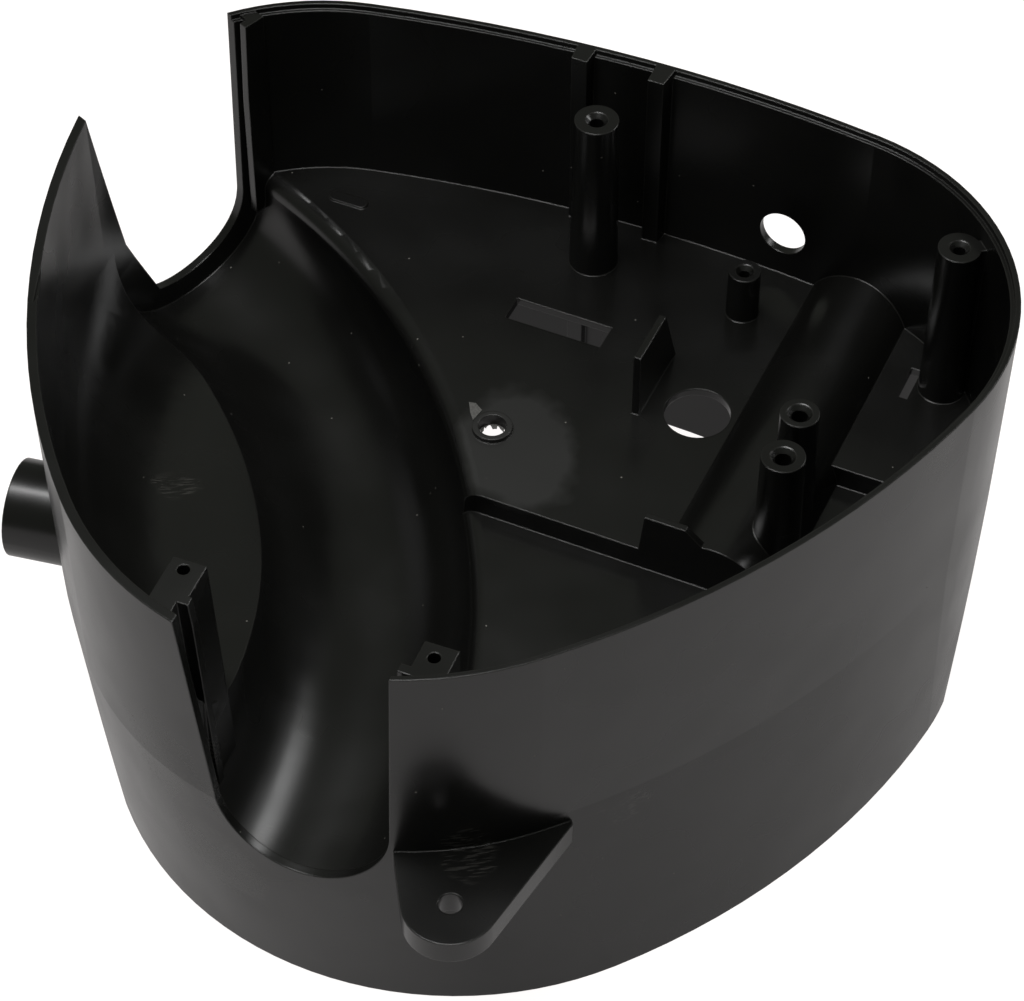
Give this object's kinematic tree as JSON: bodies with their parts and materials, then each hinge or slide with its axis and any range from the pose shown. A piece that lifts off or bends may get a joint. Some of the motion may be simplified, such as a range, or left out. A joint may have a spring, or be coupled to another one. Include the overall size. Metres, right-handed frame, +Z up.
{
  "type": "moulded housing",
  "caption": "Open black plastic housing, moulded in one piece: egg-shaped tray with a curved channel, screw bosses, panel guides, a spigot and a bolt lug.",
  "frame": {"origin": "middle of the footprint, on the plane of the lower edge", "axes": "+Z up, towards the open rim; +X towards the narrow nose; +Y towards the back wall with the gland hole"},
  "size_m": [0.4, 0.4118, 0.2],
  "materials": {
    "housing": "fine satin moulded surface, black"
  },
  "bodies": {
    "root": {"housing": "housing"}
  },
  "joints": []
}
